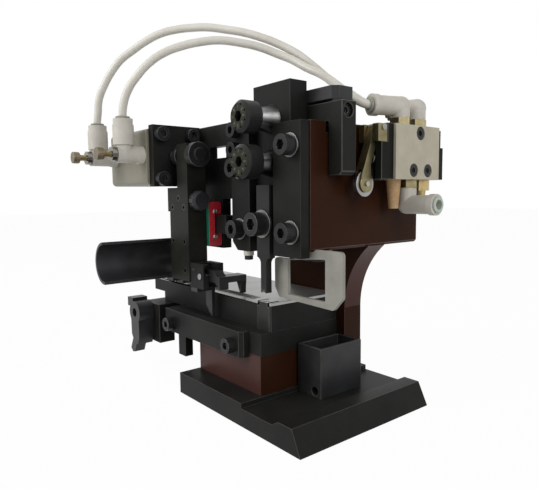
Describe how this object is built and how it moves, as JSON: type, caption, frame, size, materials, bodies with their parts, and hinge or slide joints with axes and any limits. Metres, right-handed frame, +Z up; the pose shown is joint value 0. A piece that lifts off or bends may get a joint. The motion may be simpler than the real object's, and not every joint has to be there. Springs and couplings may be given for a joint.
{
  "type": "pneumatic crimp die",
  "caption": "Bench press crimp die with a sliding ram, two setting dials, a strip track and a side feed driven by an air cylinder through a roller valve",
  "frame": {"origin": "middle of the base plate's underside, on the press bed", "axes": "+X to the operator's right, along the terminal feed; +Y to the back; +Z up, along the ram's stroke"},
  "size_m": [0.1562, 0.1278, 0.187],
  "materials": {
    "brown_paint": "dark red-brown painted casting, satin",
    "black_oxide": "black oxide on machined steel, satin",
    "screw_black": "black alloy steel cap screws",
    "bright_steel": "ground or bright steel",
    "guard_sheet": "light cream painted bent sheet",
    "cylinder_aluminium": "anodised aluminium",
    "green_plastic": "green moulded end cap",
    "red_rubber": "red end seal",
    "valve_beige": "beige valve body",
    "valve_black": "black moulded end caps",
    "brass_parts": "plain brass",
    "fitting_white": "pale grey moulded fittings on brass stems",
    "tube_clear": "translucent white air tube"
  },
  "bodies": {
    "frame": {"base_plate": "black_oxide", "base_screws": "screw_black", "frame_casting": "brown_paint", "left_cover_plate": "black_oxide", "right_cover_plate": "black_oxide", "cover_screws": "screw_black", "cover_washers": "bright_steel", "gib_adjuster": "screw_black", "anvil": "bright_steel", "track_base": "black_oxide", "track_block": "bright_steel", "front_rail": "black_oxide", "rail_screws": "screw_black", "guard": "guard_sheet", "die_holder": "black_oxide", "cylinder_body": "cylinder_aluminium", "cylinder_plate": "black_oxide", "cylinder_screws": "screw_black", "bracket": "black_oxide", "small_screws": "screw_black", "guide_rail": "bright_steel", "strip_guide": "black_oxide", "brake_body": "black_oxide", "valve_body": "valve_beige", "valve_caps": "valve_black", "valve_screws": "brass_parts", "valve_pivot": "brass_parts", "valve_fittings": "fitting_white", "speed_controllers": "fitting_white", "tube_a": "tube_clear", "tube_b": "tube_clear"},
    "ram": {"ram_block": "black_oxide", "trip_slab": "black_oxide", "trip_bar": "black_oxide", "trip_screws": "screw_black", "wire_crimper": "bright_steel", "insulation_crimper": "bright_steel", "crimper_bolt": "screw_black", "crimper_washer": "bright_steel"},
    "upper_dial": {"upper_dial": "bright_steel"},
    "lower_dial": {"lower_dial": "bright_steel"},
    "carriage": {"piston_rod": "bright_steel", "rod_nuts": "screw_black", "feed_post": "black_oxide", "post_screws": "screw_black", "guide_block": "bright_steel", "guide_end_cap": "green_plastic", "guide_end_seal": "red_rubber", "finger_holder": "black_oxide", "pawl_pin": "bright_steel", "guide_blade": "black_oxide"},
    "feed_knob": {"feed_knob": "screw_black"},
    "pawl": {"feed_pawl": "black_oxide"},
    "brake_lever": {"brake_lever": "black_oxide"},
    "thumb_screw": {"thumb_screw": "black_oxide"},
    "roller_lever": {"roller_lever": "brass_parts"},
    "valve_roller": {"valve_roller": "bright_steel"},
    "valve_plunger": {"valve_plunger": "bright_steel"},
    "needle_left": {"needle_left": "brass_parts"},
    "needle_right": {"needle_right": "brass_parts"}
  },
  "joints": [
    {"name": "ram_slide", "type": "slide", "parent": "frame", "child": "ram", "axis": [0, 0, 1], "range_m": [-0.0036, 0.0264]},
    {"name": "upper_dial_turn", "type": "hinge", "parent": "ram", "child": "upper_dial", "pos_m": [0.0015, -0.03, 0.1318], "axis": [0, 1, 0], "continuous": true},
    {"name": "lower_dial_turn", "type": "hinge", "parent": "ram", "child": "lower_dial", "pos_m": [0.0015, -0.03, 0.1129], "axis": [0, 1, 0], "continuous": true},
    {"name": "feed_slide", "type": "slide", "parent": "frame", "child": "carriage", "axis": [1, 0, 0], "range_m": [0, 0.012]},
    {"name": "feed_knob_turn", "type": "hinge", "parent": "carriage", "child": "feed_knob", "pos_m": [-0.04, -0.0307, 0.09625], "axis": [1, 0, 0], "continuous": true},
    {"name": "pawl_lift", "type": "hinge", "parent": "carriage", "child": "pawl", "pos_m": [-0.031, -0.0305, 0.06], "axis": [0, -1, 0], "range_deg": [0, 12], "stiffness_Nm_per_rad": 0.03, "springref_deg": -17.19},
    {"name": "brake_turn", "type": "hinge", "parent": "frame", "child": "brake_lever", "pos_m": [-0.093, -0.037, 0.033], "axis": [0, -1, 0], "range_deg": [-10, 45]},
    {"name": "thumb_turn", "type": "hinge", "parent": "frame", "child": "thumb_screw", "pos_m": [-0.068, -0.0225, 0.02], "axis": [0, 0, 1], "continuous": true},
    {"name": "lever_swing", "type": "hinge", "parent": "frame", "child": "roller_lever", "pos_m": [0.033, 0.0146, 0.127], "axis": [1, 0, 0], "range_deg": [0, 8], "stiffness_Nm_per_rad": 0.3, "springref_deg": -5.73},
    {"name": "roller_spin", "type": "hinge", "parent": "roller_lever", "child": "valve_roller", "pos_m": [0.033, 0.0079, 0.103], "axis": [1, 0, 0], "continuous": true},
    {"name": "plunger_slide", "type": "slide", "parent": "frame", "child": "valve_plunger", "axis": [0, 1, 0], "range_m": [0, 0.0025]},
    {"name": "needle_left_turn", "type": "hinge", "parent": "frame", "child": "needle_left", "pos_m": [-0.1015, -0.062, 0.1195], "axis": [0, 1, 0], "continuous": true},
    {"name": "needle_right_turn", "type": "hinge", "parent": "frame", "child": "needle_right", "pos_m": [-0.068, -0.062, 0.1195], "axis": [0, 1, 0], "continuous": true}
  ],
  "couplings": [
    {"joint": "plunger_slide", "follows": "lever_swing", "m_per_rad": 0.012}
  ]
}
